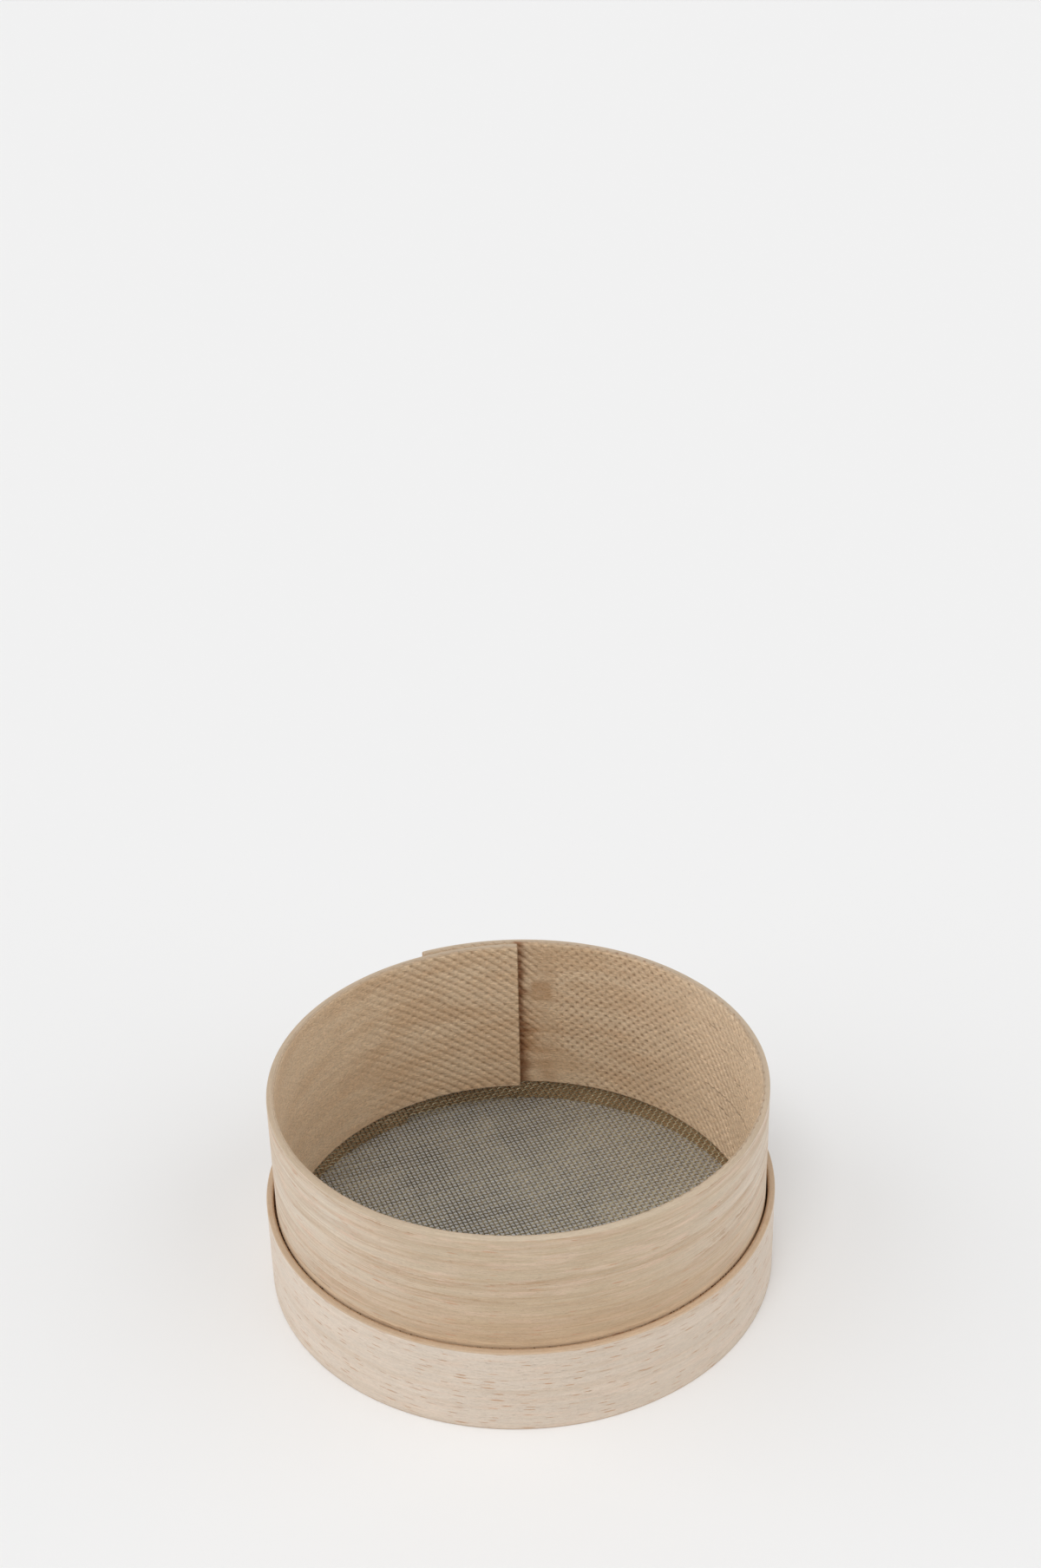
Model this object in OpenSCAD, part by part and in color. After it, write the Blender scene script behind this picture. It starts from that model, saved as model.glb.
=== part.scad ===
// Drum sieve: wire cloth stretched under a tall bentwood hoop and held by a short hoop round it.
// Each hoop is one strip whose ends overlap and are glued. The sieve stands on the short hoop.
// Angles run counterclockwise from the right, seen from above, so the front is at 270 degrees.

/* [Frame hoop] */
// Outer diameter of the tall hoop, away from its overlap
frame_d = 160; // [120:1:190]
// Thickness of the tall hoop's strip
frame_t = 2.8; // [2:0.1:4]
// Height of the rim above the base
rim_h = 70; // [50:1:110]
// Angle of the strip's inner end
frame_start = 90; // [90:1:100]
// Angle over which the tall hoop's two ends overlap
frame_lap = 23; // [14:1:30]

/* [Clamp hoop] */
// Thickness of the short hoop's strip
clamp_t = 2.4; // [2:0.1:4]
// Height of the short hoop
clamp_h = 30; // [20:1:45]
// Free angle between the tall hoop's outer end and the short hoop's inner end
end_space = 8; // [6:1:12]
// Angle over which the short hoop's two ends overlap
clamp_lap = 18; // [10:1:20]

/* [Wire cloth] */
// Height of the cloth above the base
cloth_z = 9; // [5:0.5:15]
// Diameter of the wires
wire_d = 0.35; // [0.3:0.01:0.5]
// Spacing of the woven wires
wire_pitch = 1.59; // [1.2:0.01:2.4]
// Spacing of the bars that stand for the woven wires
net_pitch = 9; // [9:0.5:14]
// Direction of the wires
weave_angle = 21; // [0:1:45]
// Thickness of the cloth where the hoops squeeze it
skirt_t = 0.5; // [0.4:0.05:0.7]
// Depth of the cloth's cut edge below the top of the short hoop
skirt_inset = 0.4; // [0.2:0.1:2]

/* [Joints] */
// Thickness of the glue between the tall hoop's ends
glue_t = 0.1; // [0.05:0.01:0.3]
// Clearance on each side of the cloth between the hoops
fit = 0.03; // [0.01:0.01:0.1]
// Radius on the long edges of both strips
edge_r = 0.6; // [0.2:0.1:0.8]

/* [Hidden] */
$fn = 180;

// Angles of the bend's own frame, in which the overlap is centred at the back
back = 90;
front = 270;
full_turn = 360;

frame_r = frame_d / 2;
cloth_t = 2 * wire_d;
cloth_top = cloth_z + cloth_t;

// A hoop is two arcs that meet at the front. The second one's centre lies this far back and its
// radius is this much larger, so that it passes over the start of the first with room for glue.
lift = to_micron((frame_t + glue_t) / 2);

frame_a0 = back - frame_lap / 2;
frame_a1 = back + frame_lap / 2;
frame_turn = frame_start - frame_a0;

// The cloth's turned-up edge lies on the tall hoop, and the short hoop on the cloth
skirt_r = frame_r + fit;
skirt_outer_r = skirt_r + skirt_t;
clamp_r = skirt_outer_r + fit;
clamp_a0 = frame_a1 + end_space;
clamp_a1 = clamp_a0 + clamp_lap;

// Bars of this width weigh as much as the woven wires they stand for
wire_area = PI * wire_d * wire_d / 4;
bar_w = wire_area / wire_pitch * net_pitch / cloth_t;
gap_w = net_pitch - bar_w;
gap_reach = ceil((frame_r + 2 * lift) / net_pitch);

// Centre of the box round the whole sieve, seen from above
box_centre = [lift * (1 - sin(frame_turn)) / 2, lift * (1 + cos(frame_turn)) / 2];

function dir(a) = [cos(a), sin(a)];
function to_micron(length) = round(length * 1000) / 1000;

// Sweeps a profile round the bend from angle a0 past the front to a1, which is given one turn on.
// The profile's x is measured from the first arc's centre.
module bend(a0, a1) {
    if (a0 < front)
        rotate_extrude(start = a0, angle = front - a0)
            children();
    second_arc(front, a1)
        children();
}

// Sweeps a profile along the second arc alone
module second_arc(a0, a1) {
    translate([0, lift])
        rotate_extrude(start = a0, angle = a1 - a0)
            translate([lift, 0])
                children();
}

// Section of a strip, with rounded corners
module strip_section(r, t, z0, z1) {
    translate([r + edge_r, z0])
        square([t - 2 * edge_r, z1 - z0]);
    translate([r, z0 + edge_r])
        square([t, z1 - z0 - 2 * edge_r]);
    for (x = [r + edge_r, r + t - edge_r], z = [z0 + edge_r, z1 - edge_r])
        translate([x, z])
            circle(edge_r, $fn = 32);
}

// Area inside the bend at radius r, whose second arc ends at a1
module bend_area(r, a1) {
    circle(r);
    translate([0, lift])
        intersection() {
            circle(r + lift);
            wedge(front, a1, 2 * r);
        }
}

// Sector of a plane between two angles, up to 270 degrees wide
module wedge(a0, a1, size) {
    turn = (a1 - a0) / 3;
    polygon(concat([[0, 0]], [for (i = [0:3]) size * dir(a0 + i * turn)]));
}

// Gaps of the net, over the whole of the hoop
module net_gaps() {
    rotate(weave_angle - frame_turn)
        for (i = [-gap_reach:gap_reach], j = [-gap_reach:gap_reach])
            if (norm([i, j]) < gap_reach)
                translate([i, j] * net_pitch)
                    square(gap_w, center = true);
}

// Film of glue that fills the space between a hoop's first layer and its second
module lap_glue(first_outer, second_inner, a0, a1, z0, z1) {
    translate([0, 0, z0])
        linear_extrude(z1 - z0)
            intersection() {
                difference() {
                    translate([0, lift])
                        circle(second_inner + lift);
                    circle(first_outer);
                }
                wedge(a0, a1, 2 * second_inner);
            }
}

// Tall hoop, standing on the cloth
module frame_hoop() {
    color([0.76, 0.69, 0.59])
        bend(frame_a0, frame_a1 + full_turn)
            strip_section(frame_r - frame_t, frame_t, cloth_top, rim_h);
}

// Short hoop, which holds the cloth's edge and carries the sieve
module clamp_hoop() {
    color([0.80, 0.73, 0.65])
        bend(clamp_a0, clamp_a1 + full_turn)
            strip_section(clamp_r, clamp_t, 0, clamp_h);
}

// Flat part of the cloth, with a solid margin under the tall hoop
module wire_cloth() {
    color([0.62, 0.62, 0.60])
        translate([0, 0, cloth_z])
            linear_extrude(cloth_t)
                difference() {
                    bend_area(skirt_outer_r, frame_a1 + full_turn);
                    intersection() {
                        net_gaps();
                        bend_area(frame_r - frame_t, frame_a0 + full_turn);
                    }
                }
}

// Edge of the cloth, turned up between the hoops and notched where the overlap ends
module cloth_skirt() {
    color([0.50, 0.49, 0.46])
        bend(clamp_a0, frame_a1 + full_turn)
            translate([skirt_r, cloth_top])
                square([skirt_t, clamp_h - skirt_inset - cloth_top]);
}

// Film of glue between the tall hoop's ends
module frame_lap_glue() {
    color([0.48, 0.37, 0.26])
        lap_glue(frame_r, frame_r - frame_t, frame_a0, frame_a1, cloth_top + edge_r, rim_h - edge_r);
}

// Film of glue between the short hoop's ends
module clamp_lap_glue() {
    color([0.48, 0.37, 0.26])
        lap_glue(clamp_r + clamp_t, clamp_r, clamp_a0, clamp_a1, edge_r, clamp_h - edge_r);
}

translate([-box_centre[0], -box_centre[1], 0]) rotate(frame_turn) {
    frame_hoop();
    clamp_hoop();
    wire_cloth();
    cloth_skirt();
    frame_lap_glue();
    clamp_lap_glue();
}
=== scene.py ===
import math

import bpy
import numpy as np
from mathutils import Matrix, Vector


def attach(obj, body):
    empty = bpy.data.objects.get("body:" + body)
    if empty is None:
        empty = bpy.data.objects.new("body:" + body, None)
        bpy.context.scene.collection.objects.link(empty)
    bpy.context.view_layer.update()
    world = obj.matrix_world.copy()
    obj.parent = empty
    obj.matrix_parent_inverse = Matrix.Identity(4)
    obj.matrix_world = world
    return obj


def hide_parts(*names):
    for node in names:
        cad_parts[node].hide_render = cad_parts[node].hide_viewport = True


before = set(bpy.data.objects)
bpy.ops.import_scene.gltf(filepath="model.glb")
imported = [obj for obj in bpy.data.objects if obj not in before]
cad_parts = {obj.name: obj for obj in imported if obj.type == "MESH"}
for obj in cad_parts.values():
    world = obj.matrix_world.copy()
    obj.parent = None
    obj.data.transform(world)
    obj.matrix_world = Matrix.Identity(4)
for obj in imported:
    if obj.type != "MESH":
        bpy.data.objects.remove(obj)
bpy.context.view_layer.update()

MM = 0.001

# Sizes of the frame's own solids, in millimetres and degrees. Angles run counterclockwise from
# the right, in the bend's own plane, where the overlap is centred at the back.
BACK, FRONT, FULL_TURN = 90.0, 270.0, 360.0
FRAME_OUTER_R, FRAME_T, CLAMP_T = 80.0, 2.8, 2.4
FRAME_LAP, CLAMP_LAP, END_SPACE = 23.0, 18.0, 8.0
RIM_H, CLAMP_H, CLOTH_TOP = 70.0, 30.0, 9.7
GLUE_T, FIT = 0.1, 0.03
SKIRT_T, SKIRT_INSET = 0.5, 0.4

# The second half of a hoop is bent round a centre this far back, to pass over the first
LIFT = (FRAME_T + GLUE_T) / 2

FRAME_START = BACK - FRAME_LAP / 2
FRAME_LAP_END = BACK + FRAME_LAP / 2
CLAMP_START = FRAME_LAP_END + END_SPACE
CLAMP_END = CLAMP_START + CLAMP_LAP + FULL_TURN
# The photo shows the tall hoop's outer end a little further round than the solids have it
FRAME_END = FRAME_LAP_END + FULL_TURN + 1.4

FRAME_R = FRAME_OUTER_R - FRAME_T
SKIRT_R = FRAME_OUTER_R + FIT + SKIRT_T / 2
CLAMP_R = FRAME_OUTER_R + FIT + SKIRT_T + FIT
FRAME_Z = (CLOTH_TOP, RIM_H)
CLAMP_Z = (0.0, CLAMP_H)
SKIRT_TOP = CLAMP_H - SKIRT_INSET

# Turn of the bend's plane in the frame, and the middle of the sieve's box in it
FRAME_TURN = BACK - FRAME_START
BOX_CENTRE = (
    LIFT * (1 - math.sin(math.radians(FRAME_TURN))) / 2,
    LIFT * (1 + math.cos(math.radians(FRAME_TURN))) / 2,
)


def turned(x, y):
    """Points of the bend's own plane, turned and moved to their place in the frame."""
    a = math.radians(FRAME_TURN)
    return (
        x * math.cos(a) - y * math.sin(a) - BOX_CENTRE[0],
        x * math.sin(a) + y * math.cos(a) - BOX_CENTRE[1],
    )


def bend(angle, r):
    """Points of the bend at angles in degrees and radii in millimetres."""
    a = np.radians(angle)
    second = angle > FRONT
    x = np.where(second, (r + LIFT) * np.cos(a), r * np.cos(a))
    y = np.where(second, LIFT + (r + LIFT) * np.sin(a), r * np.sin(a))
    return turned(x, y)


def waves(rng, x, y, period_x, period_y, count=7):
    """Smooth random waves in two directions, roughly from -1 to 1."""
    total = np.zeros(np.broadcast(x, y).shape)
    for _ in range(count):
        fx = rng.normal() / period_x
        fy = rng.normal() / period_y
        total = total + np.sin(2 * np.pi * (fx * x + fy * y + rng.random()))
    return total / math.sqrt(count)


def step(x, low, high):
    """Smooth step from 0 at low to 1 at high."""
    t = np.clip((x - low) / (high - low), 0, 1)
    return t * t * (3 - 2 * t)


def plateau(x, start, full, leave, end):
    """Smooth rise from start to full and fall from leave to end."""
    return step(x, start, full) * (1 - step(x, leave, end))


def tube_faces(rings, sides, turn_over=False):
    """Quads between neighbouring rings of points, and one face over each end."""
    ring = np.arange(rings - 1)[:, None] * sides
    here = np.arange(sides)[None, :]
    beside = (here + 1) % sides
    quads = [ring + here, ring + beside, ring + sides + beside, ring + sides + here]
    quads = np.stack(quads, -1).reshape(-1, 4)
    ends = np.stack([np.arange(sides)[::-1], (rings - 1) * sides + np.arange(sides)])
    if turn_over:
        return quads[:, [0, 3, 2, 1]], ends[:, ::-1]
    return quads, ends


def mesh_piece(name, points, faces, sharp):
    """Object from points in millimetres and arrays of faces; edges over sharp degrees stay crisp."""
    mesh = bpy.data.meshes.new(name)
    sizes = np.concatenate([np.full(len(f), f.shape[1]) for f in faces])
    corners = np.concatenate([f.ravel() for f in faces])
    starts = np.concatenate([[0], np.cumsum(sizes)[:-1]])
    mesh.vertices.add(len(points))
    mesh.loops.add(len(corners))
    mesh.polygons.add(len(sizes))
    mesh.vertices.foreach_set("co", (points * MM).astype(np.float32).ravel())
    mesh.loops.foreach_set("vertex_index", corners.astype(np.int32))
    mesh.polygons.foreach_set("loop_start", starts.astype(np.int32))
    mesh.update(calc_edges=True)
    mesh.validate()
    mesh.polygons.foreach_set("use_smooth", np.ones(len(sizes), bool))
    mesh.set_sharp_from_angle(angle=math.radians(sharp))
    piece = bpy.data.objects.new(name, mesh)
    bpy.context.scene.collection.objects.link(piece)
    return piece


def add_field(piece, name, values, kind="FLOAT"):
    """Stores one value or vector for each point of the piece."""
    field = piece.data.attributes.new(name, kind, "POINT")
    slot = "vector" if kind == "FLOAT_VECTOR" else "value"
    field.data.foreach_set(slot, np.asarray(values, np.float32).ravel())


# Hoops: radius on the strips' long edges, and how far their ends are rounded and bevelled
EDGE_R = 0.42
END_R = 0.9
END_BEVEL = 0.25
BEVEL_MIDDLE = 0.3


def strip_section(t, z0, z1, inner_rows, outer_rows):
    """Loop round a strip's section: depth from the inner face and height, inner face first."""
    e = EDGE_R
    turns = np.radians([18, 36, 54, 72])
    inner = [(0, z) for z in np.linspace(z0 + e, z1 - e, inner_rows + 1)]
    top_in = [(e - e * math.cos(a), z1 - e + e * math.sin(a)) for a in turns]
    top = [(d, z1) for d in np.linspace(e, t - e, 3)]
    top_out = [(t - e + e * math.sin(a), z1 - e + e * math.cos(a)) for a in turns]
    outer = [(t, z) for z in np.linspace(z1 - e, z0 + e, outer_rows + 1)]
    low_out = [(t - e + e * math.cos(a), z0 + e - e * math.sin(a)) for a in turns]
    low = [(d, z0) for d in np.linspace(t - e, e, 3)]
    low_in = [(e - e * math.sin(a), z0 + e - e * math.cos(a)) for a in turns]
    return np.array(inner + top_in + top + top_out + outer + low_out + low + low_in)


def strip_stations(length, count):
    """Places along a strip, as shares of its length, and how much its section shrinks there."""
    bevel = END_BEVEL / length
    middle = BEVEL_MIDDLE * bevel
    run = np.linspace(bevel, 1 - bevel, count)
    run = np.concatenate([[0, middle], run, [1 - middle, 1]])
    shrink = np.zeros(len(run))
    shrink[[0, -1]] = END_BEVEL
    shrink[[1, -2]] = BEVEL_MIDDLE * END_BEVEL
    return run[:, None], shrink[:, None]


def strip_piece(name, start, end, r, t, heights, stations, rows, relief, seed):
    """One bent strip, and its length.

    relief(s, z, turn, rng) gives how far the inner and outer faces are worn in and fields for the
    inner face. There s runs along the strip, and turn is the angle in the frame, from the right.
    """
    z0, z1 = heights
    section = strip_section(t, z0, z1, *rows)
    length = math.radians(end - start) * (r + t / 2)
    run, shrink = strip_stations(length, stations)
    angle = start + (end - start) * run
    s = length * run
    shape = (len(run), len(section))
    d = np.broadcast_to(section[:, 0], shape)
    z = np.broadcast_to(section[:, 1], shape)
    board = np.stack([np.broadcast_to(s, shape), z, d], -1).reshape(-1, 3)

    worn_in, worn_out, fields = relief(s, z, angle + FRAME_TURN, np.random.default_rng(seed))
    flat = t / 2 - 0.4 * EDGE_R
    on_inner = step(t / 2 - d, 0, flat)
    on_outer = step(d - t / 2, 0, flat)
    d = d + worn_in * on_inner - worn_out * on_outer
    d = np.clip(d, shrink, t - shrink)
    from_end = np.minimum(np.minimum(s, length - s), END_R)
    drop = END_R - np.sqrt(END_R**2 - (END_R - from_end) ** 2) + shrink
    z = np.clip(z, z0 + drop, z1 - drop)

    x, y = bend(angle, r + d)
    points = np.stack([x, y, z], -1).reshape(-1, 3)
    piece = mesh_piece(name, points, tube_faces(*shape), sharp=45)
    add_field(piece, "board", board, "FLOAT_VECTOR")
    for field, values in fields.items():
        add_field(piece, field, values * on_inner)
    return piece, length


# Knurl that the bending press leaves in the tall hoop's inner face: grooves per millimetre along
# the strip, on its first half and on its second, and up it
LAP_KNURL_S, KNURL_S, KNURL_Z = 0.215, 0.27, 0.285
KNURL_DEPTH = 0.34
# Half a turn from the strip's inner end, to the nearest millimetre
MIDWAY = round(math.radians(FRONT - BACK) * (FRAME_R + FRAME_T / 2))
# Angle of the step where the strip's inner end lies, one turn on
STEP_TURN = BACK + FULL_TURN
# Strength of each pattern everywhere, and added on the overlap, beside the step, where the face
# is pitted and at the far right
RIDGES = (0.2, 0.85, 1.1, -0.05, 1.3)
PITS = (0.12, 0.22, 0.0, 1.4, 0.2)
CROSS_RIDGES = (0.06, 0.0, 0.0, 0.08, 0.06)


def blank_patch(to_step, z):
    """Smooth patch in the knurl beside the step."""
    return plateau(to_step, 2.8, 4.4, 8, 10) * plateau(z, 45, 46.5, 53, 57)


def knurl(s, z, turn, rng):
    """Depth of the knurl, as a share of its usual depth, and how dark its grooves and pits are painted:
    partly dirt, partly painted shade.
    """
    u = s + 0.3 * waves(rng, s, z, 60, 30) + 0.07 * waves(rng, s, z, 9, 6)
    v = z + 0.25 * waves(rng, s, z, 50, 25) + 0.06 * waves(rng, s, z, 9, 6)
    along = LAP_KNURL_S * np.minimum(u, MIDWAY) + KNURL_S * np.maximum(u - MIDWAY, 0)
    up = KNURL_Z * v
    falling = 0.5 + 0.5 * np.cos(2 * np.pi * (along - up))
    rising = 0.5 + 0.5 * np.cos(2 * np.pi * (along + up))
    dots = (falling * rising) ** 2.5
    falling = falling**2.8
    rising = rising**2

    # Parts of the face, by degrees from the strip's inner end and to the step on its other side
    left = turn < FRONT
    to_step = STEP_TURN - turn
    front = step(to_step, 100, 175)
    overlap = left * (1 - step(turn, 108, 150))
    beside = ~left * (1 - step(to_step, 4, 7.5))
    pitted = ~left * plateau(to_step, 5, 15, 36, 58) * (1 - 0.4 * step(z, 42, 64))
    far = ~left * step(to_step, 40, 62) * (1 - front)
    parts = (1.0, overlap, beside, pitted, far)
    ridge_share, pit_share, cross_share = (
        sum(weight * part for weight, part in zip(weights, parts))
        for weights in (RIDGES, PITS, CROSS_RIDGES)
    )

    patchy = np.clip(0.9 + 0.28 * waves(rng, s, z, 40, 22), 0.4, 1.4)
    uneven = 1 + (0.35 - 0.2 * (overlap + pitted)) * waves(rng, s, z, 5, 3.5)
    low_blank = ~left * (1 - step(to_step, 8, 26)) * (1 - step(z, 18, 27))
    keep = (1 - 0.85 * blank_patch(to_step, z)) * (1 - 0.9 * low_blank)
    calm = 1 - 0.45 * np.where(left, 1 - overlap, front) - 0.1 * far
    steady = step(overlap + beside + 0.7 * pitted, 0.3, 0.8)
    cut = ridge_share * falling * (0.55 + 0.45 * rising) + pit_share * dots + cross_share * rising
    cut = np.clip(cut * keep * calm * uneven, 0, 1.9) * (patchy + (1 - patchy) * steady)
    # Grooves and pits painted darker: partly dirt, partly painted shade where less light falls into them
    dirt_and_shade = (0.22 + 0.08 * far) * cut * falling + 0.9 * dots * pit_share * keep * uneven
    return cut, np.clip(dirt_and_shade, 0, 0.8)


def glue_marks(s, z, turn, rng):
    """Dark stain along the step, and blots of glue beside it, from 0 to 1."""
    right = turn >= FRONT
    to_step = STEP_TURN - turn
    reach = np.maximum(3 + 1.2 * waves(rng, s, z, 20, 9), 1.6) + 1.2 * (1 - step(z, 15, 40))
    stain = right * step(to_step, -2, 0) * (1 - step(to_step, 0.6, reach))
    blot = plateau(to_step, -2, 2, 7, 13) * np.clip(0.45 + 0.4 * waves(rng, s, z, 22, 14), 0, 1)
    blot = blot * (1 - 0.6 * step(z, 56, 63))
    return stain, right * np.maximum(blot, 0.9 * blank_patch(to_step, z))


def frame_relief(s, z, turn, rng):
    """Wear of the tall hoop's faces, with its knurl and the fields of its dirt and painted shade, its
    glue, and its painted light.
    """
    cut, dirt_and_shade = knurl(s, z, turn, rng)
    rough = 0.012 * waves(rng, s, z, 7, 1.6, 12) + 0.012 * waves(rng, s, z, 2.4, 1.3, 16)
    rough = np.clip(rough, -0.04, 0.04)
    under_rim = 0.25 * step(z, 68.2, RIM_H) ** 2
    worn_in = KNURL_DEPTH * cut + 0.1 + rough + under_rim
    worn_out = 0.05 + 0.035 * waves(rng, s, z, 70, 14) + 0.006 * waves(rng, s, z, 12, 1.5, 12)
    stain, blot = glue_marks(s, z, turn, rng)
    to_step = STEP_TURN - turn
    # Painted light: the inner face is painted paler on the left and right walls, fading out towards the
    # back, standing in for light the lamps don't give there
    painted_light_right = 0.85 * step(to_step, 15, 62) - 0.3 * step(to_step, 100, 175)
    painted_light = np.where(turn < FRONT, 0.6 * step(turn, 120, 200), painted_light_right)
    fields = {"pit": dirt_and_shade, "stain": stain, "blot": blot, "painted_light": painted_light}
    return np.maximum(worn_in, 0.02), np.maximum(worn_out, 0), fields


def clamp_relief(s, z, turn, rng):
    """Wear of the short hoop's faces."""
    worn_in = 0.03 + 0.012 * waves(rng, s, z, 9, 1.6, 12)
    worn_out = 0.05 + 0.03 * waves(rng, s, z, 60, 12) + 0.006 * waves(rng, s, z, 10, 1.5, 12)
    return np.maximum(worn_in, 0), np.maximum(worn_out, 0.015), {}


frame_strip, frame_length = strip_piece(
    "frame_strip", FRAME_START, FRAME_END, FRAME_R, FRAME_T, FRAME_Z,
    stations=1500, rows=(128, 10), relief=frame_relief, seed=11,
)
clamp_strip, clamp_length = strip_piece(
    "clamp_strip", CLAMP_START, CLAMP_END, CLAMP_R, CLAMP_T, CLAMP_Z,
    stations=520, rows=(20, 20), relief=clamp_relief, seed=23,
)

# Wire cloth, flat under the tall hoop and folded up between the hoops
WIRE_D = 0.44
WIRE_SIDES = 6
PITCH = 1.59
WEAVE_TURN = 21.0
# How far a wire goes over and under, on the flat cloth and past the fold
CRIMP, FOLDED_CRIMP = 0.215, 0.07
CLOTH_MID = CLOTH_TOP - CRIMP - WIRE_D / 2
FOLD_R = 0.92
FOLD_LENGTH = FOLD_R * math.pi / 2
UPRIGHT = SKIRT_TOP - CLOTH_MID - FOLD_R
# Spacing of a wire's points on the flat cloth, in the fold and above it
FLAT_STEP, FOLD_STEP, UPRIGHT_STEP = PITCH / 3, 0.36, 0.72
# How far before the fold and after it the fold's spacing is kept
FOLD_BEFORE, FOLD_AFTER = 0.6, 0.3
CUT_SPREAD = 0.25
LONGEST_HALF = 110.0
LAST_WIRE = 64


def cloth_reach(angle):
    """Distance from the bend's centre to the upright part of the cloth."""
    a = np.radians(angle)
    second_r = SKIRT_R + LIFT
    second = LIFT * np.sin(a) + np.sqrt(second_r**2 - (LIFT * np.cos(a)) ** 2)
    turn = np.mod(angle, FULL_TURN)
    back_in = step(turn, FRAME_END - FULL_TURN, CLAMP_START)
    reach = second * (1 - back_in) + SKIRT_R * back_in
    return np.where((turn > CLAMP_START) & (turn < FRONT), SKIRT_R, reach)


def past_fold(x, y):
    """How far points of the unfolded cloth lie past the start of its fold, and its reach there."""
    reach = cloth_reach(np.degrees(np.arctan2(y, x)))
    return np.hypot(x, y) - (reach - FOLD_R), reach


def half_wire(start, along, way, cut_end):
    """Distances of a wire's points from its middle, out to its cut end."""
    stops = []
    t = 0.0 if way > 0 else -FLAT_STEP
    while abs(t) <= LONGEST_HALF:
        past, _ = past_fold(*(start + t * along))
        if past > cut_end:
            break
        stops.append(t)
        if past < -FOLD_BEFORE:
            t += way * FLAT_STEP
        elif past < FOLD_LENGTH + FOLD_AFTER:
            t += way * FOLD_STEP
        else:
            t += way * UPRIGHT_STEP
    return stops


def wire_path(offset, direction, parity, rng):
    """Middle line of one wire and the cloth's normal along it, in the bend's own plane."""
    along = np.array([math.cos(direction), math.sin(direction)])
    start = offset * np.array([-along[1], along[0]])
    halves = []
    for way in (1, -1):
        cut_end = FOLD_LENGTH + UPRIGHT - CUT_SPREAD * abs(rng.normal())
        halves.append(half_wire(start, along, way, cut_end))
    stops = np.array(halves[1][::-1] + halves[0])
    if len(stops) < 3:
        return None
    unfolded = start + stops[:, None] * along
    past, reach = past_fold(unfolded[:, 0], unfolded[:, 1])
    rho = np.maximum(np.hypot(unfolded[:, 0], unfolded[:, 1]), 1e-6)
    out = unfolded / rho[:, None]
    a = np.clip(past / FOLD_R, 0, math.pi / 2)
    r = np.where(past < 0, rho, reach - FOLD_R + FOLD_R * np.sin(a))
    z = CLOTH_MID + FOLD_R * (1 - np.cos(a)) + np.maximum(past - FOLD_LENGTH, 0)
    normal = np.column_stack([-np.sin(a)[:, None] * out, np.cos(a)])
    crimp = CRIMP + (FOLDED_CRIMP - CRIMP) * step(past, -0.5, FOLD_LENGTH)
    crimp = crimp * np.cos(math.pi * (stops / PITCH + parity))
    path = np.column_stack([r[:, None] * out, z]) + crimp[:, None] * normal
    return path, normal


def wire_tube(path, normal):
    """Rings of points round a wire's middle line."""
    tangent = np.gradient(path, axis=0)
    tangent /= np.linalg.norm(tangent, axis=1)[:, None]
    side = np.cross(tangent, normal)
    side /= np.linalg.norm(side, axis=1)[:, None]
    up = np.cross(side, tangent)
    turns = np.arange(WIRE_SIDES)[None, :, None] * 2 * math.pi / WIRE_SIDES
    ring = np.cos(turns) * up[:, None] + np.sin(turns) * side[:, None]
    return (path[:, None] + WIRE_D / 2 * ring).reshape(-1, 3)


def wire_piece(name, indices, direction, parity, seed):
    """Piece of parallel woven wires."""
    rng = np.random.default_rng(seed)
    points, quads, ends, shades = [], [], [], []
    count = 0
    for index in indices:
        wire = wire_path(index * PITCH, direction, index + parity, rng)
        shade = rng.random()
        if wire is None:
            continue
        tube = wire_tube(*wire)
        tube_quads, tube_ends = tube_faces(len(tube) // WIRE_SIDES, WIRE_SIDES, turn_over=True)
        points.append(tube)
        quads.append(tube_quads + count)
        ends.append(tube_ends + count)
        shades.append(np.full(len(tube), shade))
        count += len(tube)
    points = np.concatenate(points)
    x, y = turned(points[:, 0], points[:, 1])
    points = np.column_stack([x, y, points[:, 2]])
    piece = mesh_piece(name, points, [np.concatenate(quads), np.concatenate(ends)], sharp=70)
    add_field(piece, "shade", np.concatenate(shades))
    return piece


wires = []
for layer, layer_name in enumerate(("warp", "weft")):
    direction = math.radians(WEAVE_TURN - FRAME_TURN + 90 * layer)
    for half, indices in enumerate((range(-LAST_WIRE, 0), range(0, LAST_WIRE + 1))):
        name = f"wires_{layer_name}_{half + 1}"
        wires.append(wire_piece(name, indices, direction, layer, seed=40 + 2 * layer + half))


def linear(rgb):
    """sRGB from 0 to 255 as linear colour."""
    c = np.array(rgb) / 255
    c = np.where(c <= 0.04045, c / 12.92, ((c + 0.055) / 1.055) ** 2.4)
    return (*[float(v) for v in c], 1.0)


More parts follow.
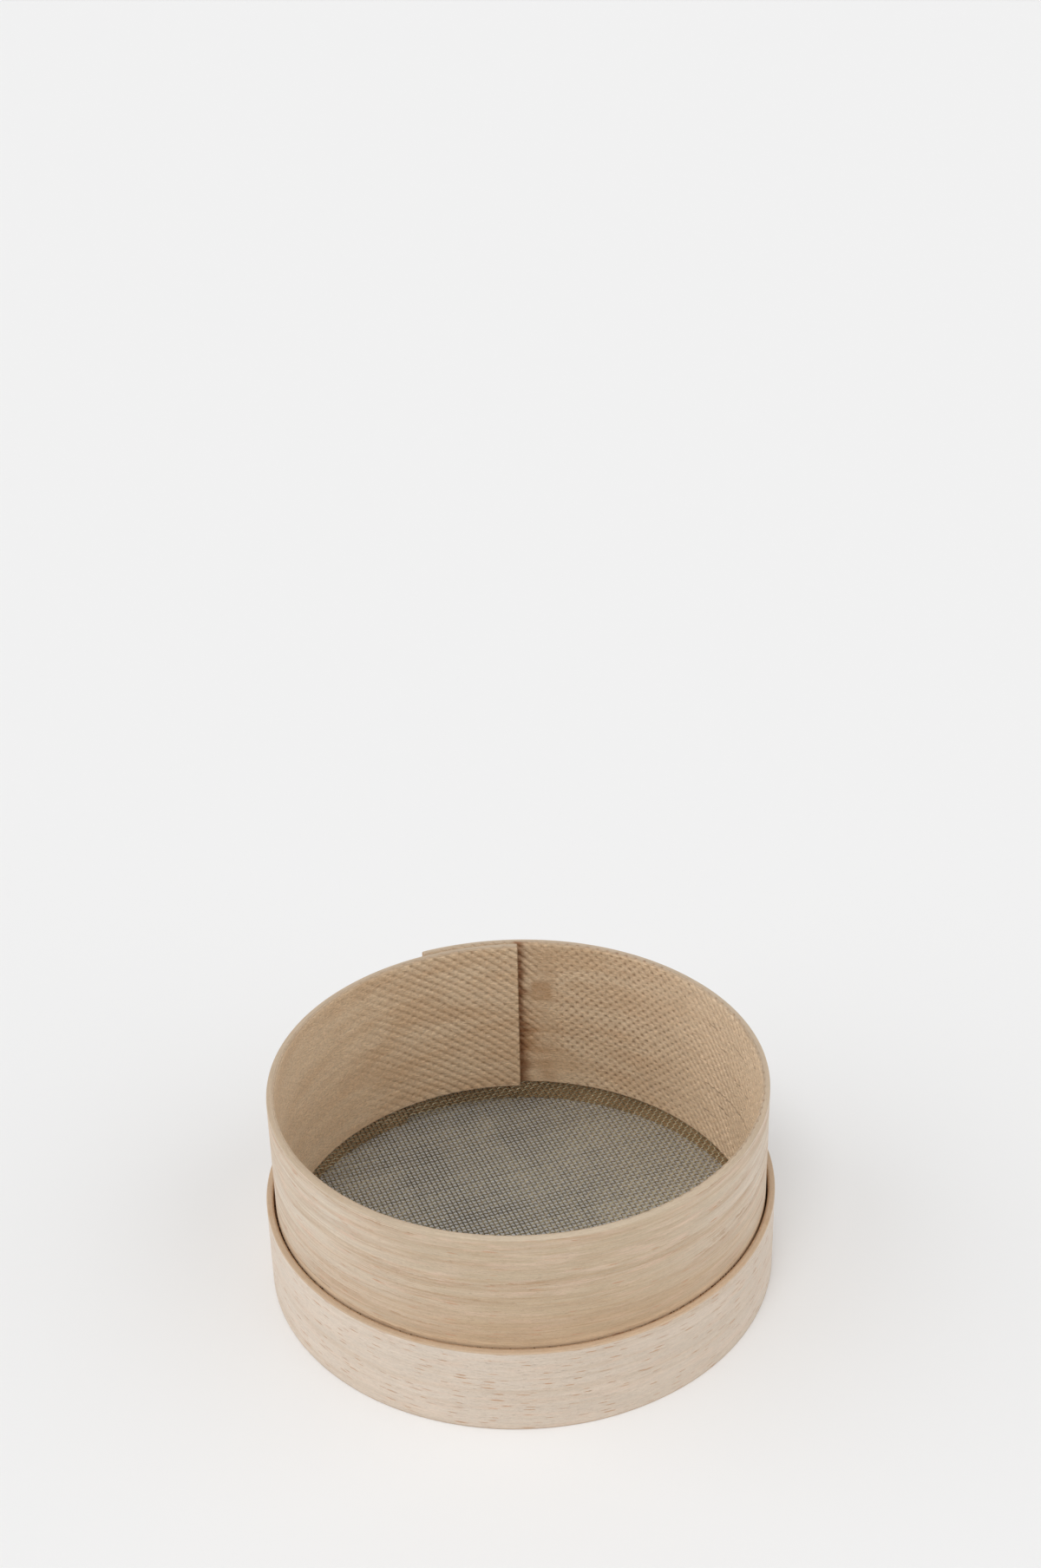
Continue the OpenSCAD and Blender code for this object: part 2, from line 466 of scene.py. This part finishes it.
class Graph:
    """Short way to build a material's nodes."""

    def __init__(self, name):
        self.material = bpy.data.materials.new(name)
        self.material.use_nodes = True
        self.tree = self.material.node_tree
        self.tree.nodes.clear()
        self.shader = self.tree.nodes.new("ShaderNodeBsdfPrincipled")
        out = self.tree.nodes.new("ShaderNodeOutputMaterial")
        self.tree.links.new(self.shader.outputs[0], out.inputs[0])

    def put(self, socket, value):
        """Links a socket, or sets a plain value."""
        if isinstance(value, bpy.types.NodeSocket):
            self.tree.links.new(value, socket)
        else:
            socket.default_value = value

    def whole_node(self, kind, inputs=(), **settings):
        """New node with its inputs and settings."""
        node = self.tree.nodes.new("ShaderNode" + kind)
        for key, value in settings.items():
            setattr(node, key, value)
        for i, value in dict(inputs).items():
            self.put(node.inputs[i], value)
        return node

    def node(self, kind, inputs=(), out=0, **settings):
        """One output of a new node."""
        return self.whole_node(kind, inputs, **settings).outputs[out]

    def split(self, vector):
        """The three parts of a vector."""
        return self.whole_node("SeparateXYZ", {0: vector}).outputs[:3]

    def field(self, name, out="Fac"):
        """Value stored on the mesh."""
        return self.node("Attribute", attribute_name=name, attribute_type="GEOMETRY", out=out)

    def math(self, operation, a, b=0.0, c=0.0):
        """Math node."""
        return self.node("Math", {0: a, 1: b, 2: c}, operation=operation)

    def times(self, a, b):
        """Product of two values."""
        return self.math("MULTIPLY", a, b)

    def plus(self, a, b):
        """Sum of two values."""
        return self.math("ADD", a, b)

    def apart(self, a, b):
        """Size of the difference of two values."""
        return self.math("ABSOLUTE", self.math("SUBTRACT", a, b))

    def scaled(self, vector, scale, offset):
        """Vector stretched and moved."""
        return self.node("VectorMath", {0: vector, 1: scale, 2: offset}, operation="MULTIPLY_ADD")

    def ramp(self, value, low, high, start=0.0, end=1.0):
        """Smooth change from start at low to end at high."""
        inputs = {0: value, 1: low, 2: high, 3: start, 4: end}
        return self.node("MapRange", inputs, interpolation_type="SMOOTHSTEP")

    def line(self, value, low, high, start, end):
        """Straight change from start at low to end at high."""
        inputs = {0: value, 1: low, 2: high, 3: start, 4: end}
        return self.node("MapRange", inputs, interpolation_type="LINEAR")

    def mix(self, factor, a, b, blend="MIX"):
        """Mix of two linear colours."""
        return self.node("Mix", {0: factor, 6: a, 7: b}, out=2, data_type="RGBA", blend_type=blend)

    def tint(self, factor, colour, rgb):
        """Colour mixed with one that is given in sRGB."""
        return self.mix(factor, colour, linear(rgb))


class Beech(Graph):
    """Beech in the strip's own unbent coordinates: along it, up it and through it, in millimetres."""

    def __init__(self, name, seed, length, heights, tones, line_share):
        super().__init__(name)
        self.length = length
        self.low, self.high = heights
        self.tones = tones
        self.line_share = line_share
        self.shift = (seed * 3.1, seed * 1.7, seed * 2.3)
        self.board = self.field("board", "Vector")
        self.along, self.up, self.depth = self.split(self.board)
        self.inside = self.ramp(self.depth, 0.9, 0.5)
        off_front = self.apart(self.along, length * 0.49)
        self.aside = self.ramp(off_front, length * 0.02, length * 0.16)
        self.patch = self.grain((0.03, 0.12, 0.1), 3.0, 0.6, 0.4)
        self.fibre = self.grain((0.07, 1.3, 1.3), 5.0, 0.66, 0.7)
        self.fine = self.grain((0.22, 5.5, 5.5), 3.0, 0.65)
        self.grit = self.grain((0.9, 2.4, 2.4), 3.0, 0.65)

    def grain(self, per_mm, detail, rough, distortion=0.0, offset=None):
        """Noise stretched along the board."""
        place = self.scaled(self.board, per_mm, offset or self.shift)
        inputs = {"Vector": place, "Scale": 1.0, "Detail": detail, "Roughness": rough,
                  "Distortion": distortion}
        return self.node("TexNoise", inputs)

    def outer_tone(self):
        """Tones of the outer face: slow changes, patches, darker bands and pinkish ones."""
        tones = self.tones
        slow = self.grain((0.012, 0.05, 0.05), 2.0, 0.5)
        band = self.grain((0.012, 0.5, 0.2), 4.0, 0.62, 0.2, (2.0, 9.0, 4.0))
        blush = self.grain((0.06, 0.45, 0.3), 4.0, 0.65, 0.4, (6.0, 1.0, 8.0))
        band_share = 0.55 * self.line_share
        blush_share = 0.7 * self.line_share
        colour = self.mix(self.aside, linear(tones["front"]), linear(tones["sides"]))
        colour = self.tint(self.times(self.ramp(slow, 0.4, 0.65), 0.5), colour, tones["front"])
        colour = self.tint(self.times(self.ramp(self.patch, 0.48, 0.66), 0.5), colour, tones["patches"])
        colour = self.tint(self.times(self.ramp(band, 0.48, 0.64), band_share), colour, (186, 158, 126))
        colour = self.tint(self.times(self.ramp(blush, 0.5, 0.68), blush_share), colour, (218, 190, 168))
        # Towards the bottom, most at the front: on the tall hoop a darker, warmer tone, partly darker wood
        # and partly painted shade and warm bounce from the short hoop
        lower = self.ramp(self.up, self.high - 14, self.low + 16)
        lower = self.times(lower, self.line(self.aside, 0, 1, 0.75, 0.3))
        return self.tint(lower, colour, tones["lower"])

    def inner_tone(self):
        """Tones of the inner face, painted paler on the left and right walls as painted light, where the
        lamps leave them too dark.
        """
        patchy = self.ramp(self.patch, 0.35, 0.65)
        colour = self.mix(patchy, linear(self.tones["inner"]), linear(self.tones["inner_patches"]))
        return self.tint(self.field("painted_light"), colour, (234, 208, 177))

    def growth_lines(self, colour, gap):
        """Growth lines along the strip, feathered and broken, with thinner threads between them."""
        sway = self.grain((0.006, 0.06, 0.4), 2.0, 0.5)
        feather = self.grain((0.16, 0.9, 0.8), 5.0, 0.72)
        broken = self.grain((0.035, 0.3, 0.2), 3.0, 0.6)
        chosen = self.grain((0.004, 0.22, 0.2), 2.0, 0.5)
        thread = self.grain((0.06, 2.2, 2.0), 4.0, 0.66, 0.6, (1.0, 7.0, 2.0))
        ring = self.plus(self.times(self.up, 1 / gap), self.times(sway, 3.2))
        ring = self.math("FRACT", self.plus(ring, self.times(feather, 0.42)))
        soft_side = self.ramp(ring, 0.25, 0.95, 0.0, 0.42)
        late = self.math("MAXIMUM", soft_side, self.ramp(ring, 0.84, 0.95))
        late = self.times(late, self.ramp(ring, 0.99, 0.95))
        late = self.times(late, self.ramp(broken, 0.42, 0.58, 0.05, 1.0))
        late = self.times(late, self.ramp(chosen, 0.35, 0.62, 0.3, 1.0))
        thread = self.times(self.ramp(thread, 0.5, 0.64), self.ramp(broken, 0.4, 0.6, 0.15, 0.6))
        late = self.math("MAXIMUM", late, thread)
        late = self.times(late, self.ramp(self.fibre, 0.34, 0.54, 0.3, 1.0))
        late = self.times(late, self.line(self.inside, 0, 1, self.line_share, self.line_share * 0.25))
        return self.tint(late, colour, self.tones["lines"])

    def ray_flecks(self, colour, share):
        """Short ray flecks, at most one in each 12 by 1.5 mm, in a share of them."""
        slanted = self.math("MULTIPLY_ADD", self.along, 0.035, self.up)
        place = self.node("CombineXYZ", {0: self.along, 1: slanted, 2: 0.0})
        place = self.scaled(place, (1 / 12, 1 / 1.5, 0), self.shift)
        cells = self.whole_node("TexVoronoi", {"Vector": place, "Scale": 1.0}, voronoi_dimensions="2D")
        chance, width, strength = self.whole_node("SeparateColor", {0: cells.outputs["Color"]}).outputs[:3]
        reach = self.line(width, 0, 1, 0.12, 0.24)
        ragged = self.line(self.grain((0.8, 3.0, 0.0), 2.0, 0.6), 0.3, 0.7, -0.05, 0.05)
        distance = self.plus(cells.outputs["Distance"], ragged)
        fleck = self.ramp(self.math("DIVIDE", distance, reach), 1.0, 0.4)
        fleck = self.times(fleck, self.math("LESS_THAN", chance, share))
        fleck = self.times(fleck, self.line(strength, 0, 1, 0.4, 0.95))
        fleck = self.times(fleck, self.line(self.inside, 0, 1, 1.0, 0.3))
        return self.tint(fleck, colour, self.tones["flecks"])

    def pores(self):
        """Open pores, as fine dashes."""
        return self.ramp(self.grain((0.4, 7.0, 7.0), 2.0, 0.5), 0.38, 0.26)

    def cracks(self):
        """Long cracks in the pressed face, most of them on the right."""
        wander = self.grain((0.009, 0.04, 0.05), 5.0, 0.62)
        torn = self.grain((0.05, 0.25, 0.25), 3.0, 0.65, 0.0, (5.0, 3.0, 1.0))
        crack = self.math("FRACT", self.plus(self.times(self.up, 0.16), self.times(wander, 2.4)))
        crack = self.ramp(self.apart(crack, 0.5), 0.05, 0.012)
        from_right = self.apart(self.along, self.length * 0.755)
        sound = self.line(from_right, self.length * 0.03, self.length * 0.1, -0.03, 0.2)
        crack = self.times(crack, self.ramp(self.math("SUBTRACT", torn, sound), 0.53, 0.63))
        return self.times(self.times(crack, self.inside), self.ramp(self.fine, 0.35, 0.5, 0.3, 1.0))

    def sawn_faces(self, colour):
        """Tones of the strip's sawn edges and ends, the edges with painted light at the front and painted
        shade round the sides and back.
        """
        tones = self.tones
        low_edge = self.ramp(self.up, self.low + 0.7, self.low + 0.25)
        high_edge = self.ramp(self.up, self.high - 0.7, self.high - 0.25)
        on_edge = self.times(self.math("MAXIMUM", low_edge, high_edge), 0.85)
        # Painted light and shade: the edges are lighter at the front, where the rounded edges catch the
        # light, and darker round the sides and back
        edge = self.mix(self.aside, linear(tones["edge_front"]), linear(tones["edge_sides"]))
        edge = self.tint(self.times(self.ramp(self.depth, 1.1, 0.5), 0.6), edge, tones["edge_inner"])
        colour = self.mix(on_edge, colour, edge)
        first_end = self.ramp(self.along, 0.35, 0.12)
        last_end = self.ramp(self.along, self.length - 0.35, self.length - 0.12)
        on_end = self.times(self.math("MAXIMUM", first_end, last_end), 0.7)
        return self.tint(on_end, colour, (168, 134, 100))

    def knurl_shade_dirt_and_glue(self, colour):
        """Dirt and painted shade in the knurl's grooves and pits, and glue stains beside the step."""
        mottle = self.grain((0.12, 0.5, 0.3), 4.0, 0.6, 0.3)
        # Knurl grooves and pits: partly dirt, partly painted shade
        pit = self.times(self.field("pit"), self.line(self.grit, 0.35, 0.65, 0.8, 0.4))
        blot = self.times(self.field("blot"), self.ramp(mottle, 0.3, 0.7, 0.4, 1.0))
        stain = self.times(self.field("stain"), self.ramp(mottle, 0.3, 0.6, 0.6, 1.0))
        colour = self.tint(pit, colour, (134, 94, 66))
        colour = self.tint(self.times(blot, 0.6), colour, (164, 112, 58))
        return self.tint(self.times(stain, 0.85), colour, (132, 80, 36))

    def shaded(self, colour):
        """Colour made lighter and darker by the fibres and the grit; on the inner face the grit's specks
        are partly real speckle and partly painted highlights, standing for glints on the raised grain.
        """
        low = 0.94 - 0.06 * self.line_share
        high = 1.05 + 0.05 * self.line_share
        streak = self.line(self.fibre, 0.25, 0.75, low, high)
        # On the inner face the light specks are partly painted highlights: glints on the pressed grain
        speck = self.math("SUBTRACT", self.line(self.grit, 0.3, 0.7, 0.83, 1.21), 1.0)
        speck = self.plus(1.0, self.times(speck, self.line(self.inside, 0, 1, 0.3, 1.0)))
        shade = self.times(streak, self.line(self.fine, 0.25, 0.75, 0.95, 1.05))
        shade = self.times(shade, speck)
        grey = self.node("CombineColor", {0: shade, 1: shade, 2: shade})
        return self.mix(1.0, colour, grey, "MULTIPLY")

    def bump(self, pores, cracks):
        """Fine relief, in millimetres."""
        height = self.math("MULTIPLY_ADD", self.fine, 0.03, self.times(self.fibre, 0.04))
        height = self.math("MULTIPLY_ADD", self.times(self.grit, self.inside), 0.4, height)
        height = self.math("MULTIPLY_ADD", pores, -0.04, height)
        height = self.math("MULTIPLY_ADD", cracks, -0.15, height)
        return self.node("Bump", {"Strength": 1.0, "Distance": MM, "Height": height})


def beech(name, seed, length, heights, tones, line_gap, line_share, fleck_share, clamp_top=None):
    """Beech material; clamp_top is the height of the hoop that this one stands in."""
    g = Beech(name, seed, length, heights, tones, line_share)
    outer = g.outer_tone()
    if clamp_top:
        # Painted light: a lighter band just above the short hoop, lifting the shade that the short hoop
        # casts on the tall one
        painted_light_above_clamp = g.ramp(g.up, clamp_top + 2.8, clamp_top + 0.4, 0.0, 0.65)
        outer = g.tint(painted_light_above_clamp, outer, (230, 202, 168))
    pores = g.pores()
    cracks = g.cracks()
    colour = g.mix(g.inside, outer, g.inner_tone())
    colour = g.growth_lines(colour, line_gap)
    colour = g.ray_flecks(colour, fleck_share)
    colour = g.tint(g.times(pores, 0.3), colour, (150, 118, 88))
    colour = g.tint(g.times(cracks, 0.6), colour, (116, 86, 60))
    colour = g.sawn_faces(colour)
    colour = g.knurl_shade_dirt_and_glue(colour)
    g.put(g.shader.inputs["Base Color"], g.shaded(colour))
    g.put(g.shader.inputs["Roughness"], g.line(g.fine, 0.3, 0.7, 0.46, 0.62))
    g.put(g.shader.inputs["Normal"], g.bump(pores, cracks))
    g.shader.inputs["IOR"].default_value = 1.45
    return g.material


def wire_material():
    """Tarnished steel, with painted light making it brighter towards the right, and brown where it stands
    between the hoops.
    """
    g = Graph("cloth_steel")
    where = g.node("TexCoord", out=3)
    x, _, z = g.split(where)
    tarnish = g.node("TexNoise", {"Vector": where, "Scale": 60.0, "Detail": 4.0, "Roughness": 0.6})
    grain = g.node("TexNoise", {"Vector": where, "Scale": 1800.0, "Detail": 2.0})
    tarnish_and_painted_light = g.plus(g.times(g.field("shade"), 0.2), g.times(tarnish, 0.45))
    # Painted light: brighter towards the right, where the wires catch more light
    tarnish_and_painted_light = g.math("MULTIPLY_ADD", x, 2.6, tarnish_and_painted_light)
    tarnish_and_painted_light = g.math("MULTIPLY_ADD", g.times(x, x), 25.0, tarnish_and_painted_light)
    colour = g.mix(g.ramp(tarnish_and_painted_light, 0.05, 0.66), linear((98, 90, 72)), linear((184, 173, 145)))
    colour = g.tint(g.ramp(z, 0.011, 0.016), colour, (104, 70, 46))
    g.put(g.shader.inputs["Base Color"], colour)
    g.put(g.shader.inputs["Roughness"], g.line(grain, 0.3, 0.7, 0.3, 0.45))
    g.shader.inputs["Metallic"].default_value = 1.0
    return g.material


def glue_material():
    """Dried wood glue."""
    g = Graph("dried_glue")
    where = g.node("TexCoord", out=3)
    spots = g.node("TexNoise", {"Vector": where, "Scale": 700.0, "Detail": 4.0, "Roughness": 0.65})
    colour = g.mix(g.ramp(spots, 0.3, 0.7), linear((96, 70, 46)), linear((148, 116, 80)))
    g.put(g.shader.inputs["Base Color"], colour)
    g.put(g.shader.inputs["Roughness"], g.line(spots, 0.3, 0.7, 0.35, 0.6))
    bump = g.node("Bump", {"Strength": 0.5, "Distance": 0.0001, "Height": spots})
    g.put(g.shader.inputs["Normal"], bump)
    return g.material


# The tall hoop's lower tone is partly darker wood and partly painted shade from the short hoop below
FRAME_TONES = {
    "sides": (214, 200, 182), "front": (196, 176, 149), "patches": (214, 192, 169),
    "lower": (190, 160, 126), "inner": (228, 203, 171), "inner_patches": (217, 187, 152),
    "lines": (166, 127, 92), "flecks": (192, 150, 120),
    "edge_front": (202, 184, 160), "edge_sides": (186, 165, 140), "edge_inner": (186, 160, 132),
}
CLAMP_TONES = {
    "sides": (219, 205, 190), "front": (208, 193, 176), "patches": (220, 203, 186),
    "lower": (215, 194, 170), "inner": (214, 172, 126), "inner_patches": (198, 156, 110),
    "lines": (206, 184, 160), "flecks": (186, 146, 114),
    "edge_front": (200, 171, 140), "edge_sides": (190, 163, 133), "edge_inner": (164, 128, 96),
}
frame_strip.data.materials.append(beech(
    "frame_beech", 1, frame_length, FRAME_Z, FRAME_TONES,
    line_gap=6.6, line_share=0.88, fleck_share=0.2, clamp_top=CLAMP_H,
))
clamp_strip.data.materials.append(beech(
    "clamp_beech", 2, clamp_length, CLAMP_Z, CLAMP_TONES,
    line_gap=12.0, line_share=0.4, fleck_share=0.72,
))
steel = wire_material()
for piece in wires:
    piece.data.materials.append(steel)
glue = glue_material()
for name in ("frame_lap_glue", "clamp_lap_glue"):
    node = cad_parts[name]
    node.data.materials.clear()
    node.data.materials.append(glue)

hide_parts("frame_hoop")
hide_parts("clamp_hoop")
for piece in wires:
    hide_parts("wire_cloth", "cloth_skirt")
for piece in [frame_strip, clamp_strip, *wires]:
    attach(piece, "root")

# Floor, in metres
FLOOR_HALF = 20.0
corners = [(x * FLOOR_HALF, y * FLOOR_HALF, 0) for x, y in ((-1, -1), (1, -1), (1, 1), (-1, 1))]
floor_mesh = bpy.data.meshes.new("floor")
floor_mesh.from_pydata(corners, [], [(0, 1, 2, 3)])
floor = bpy.data.objects.new("floor", floor_mesh)
bpy.context.scene.collection.objects.link(floor)
g = Graph("floor")
g.shader.inputs["Base Color"].default_value = (0.88, 0.88, 0.88, 1)
g.shader.inputs["Roughness"].default_value = 1.0
g.shader.inputs["Specular IOR Level"].default_value = 0.0
floor_mesh.materials.append(g.material)

# Light: an even white room, seen a little brighter than it lights, and three broad lamps
WORLD = 0.53
BACKDROP = 0.88
world = bpy.data.worlds.new("room")
world.use_nodes = True
bpy.context.scene.world = world
tree = world.node_tree
tree.nodes.clear()
path = tree.nodes.new("ShaderNodeLightPath")
seen = path.outputs["Is Camera Ray"]
for ray in ("Is Transmission Ray", "Is Glossy Ray"):
    either = tree.nodes.new("ShaderNodeMath")
    either.operation = "MAXIMUM"
    tree.links.new(seen, either.inputs[0])
    tree.links.new(path.outputs[ray], either.inputs[1])
    seen = either.outputs[0]
strength = tree.nodes.new("ShaderNodeMapRange")
tree.links.new(seen, strength.inputs[0])
strength.inputs[3].default_value = WORLD
strength.inputs[4].default_value = BACKDROP
back = tree.nodes.new("ShaderNodeBackground")
back.inputs["Color"].default_value = (1, 1, 1, 1)
tree.links.new(strength.outputs[0], back.inputs["Strength"])
out = tree.nodes.new("ShaderNodeOutputWorld")
tree.links.new(back.outputs[0], out.inputs[0])


def sun(name, azimuth, height, strength, spread):
    """Lamp far away; azimuth 0 is behind the camera and 90 on its left."""
    lamp = bpy.data.lights.new(name, "SUN")
    lamp.energy = strength
    lamp.angle = math.radians(spread)
    a, e = math.radians(azimuth), math.radians(height)
    towards = Vector((-math.sin(a) * math.cos(e), -math.cos(a) * math.cos(e), math.sin(e)))
    holder = bpy.data.objects.new(name, lamp)
    holder.rotation_mode = "QUATERNION"
    holder.rotation_quaternion = towards.to_track_quat("Z", "Y")
    bpy.context.scene.collection.objects.link(holder)


sun("key", 22, 60, 0.8, 25)
sun("side", 78, 26, 0.9, 70)
sun("fill", -74, 30, 0.78, 70)

# Camera, fitted to the photo's silhouette: it looks at a point on the hoops' axis, which lies at
# TARGET_PIXEL in the photo. Its focal length is in the photo's pixels.
ELEVATION = math.radians(27.2944)
ROLL = math.radians(-1.2575)
AZIMUTH = math.radians(0.726)
DISTANCE = 655.385
FOCAL = 2296.699
PHOTO_SIZE = (1200, 1807)
TARGET_PIXEL = (597.809, 1339.994)
TARGET = Vector((*turned(0, 0), 35))
SENSOR = 36


def add_camera():
    """Camera at its place, set as the scene's own."""
    ahead = Vector((0, math.cos(ELEVATION), -math.sin(ELEVATION)))
    level_up = Vector((0, math.sin(ELEVATION), math.cos(ELEVATION)))
    right = math.cos(ROLL) * Vector((1, 0, 0)) + math.sin(ROLL) * level_up
    up = -math.sin(ROLL) * Vector((1, 0, 0)) + math.cos(ROLL) * level_up
    off_right = (TARGET_PIXEL[0] - PHOTO_SIZE[0] / 2) / FOCAL * DISTANCE
    off_up = (PHOTO_SIZE[1] / 2 - TARGET_PIXEL[1]) / FOCAL * DISTANCE
    from_target = -DISTANCE * ahead - off_right * right - off_up * up
    turn = Matrix.Rotation(AZIMUTH, 3, "Z")
    place = TARGET + turn @ from_target
    view = Matrix((turn @ right, turn @ up, turn @ -ahead)).transposed()
    data = bpy.data.cameras.new("camera")
    data.sensor_width = SENSOR
    data.lens = SENSOR * FOCAL / PHOTO_SIZE[1]
    data.clip_start = 0.02
    data.clip_end = 60
    camera = bpy.data.objects.new("camera", data)
    camera.matrix_world = Matrix.Translation(place * MM) @ view.to_4x4()
    bpy.context.scene.collection.objects.link(camera)
    bpy.context.scene.camera = camera


add_camera()
bpy.context.scene.view_settings.view_transform = "Standard"
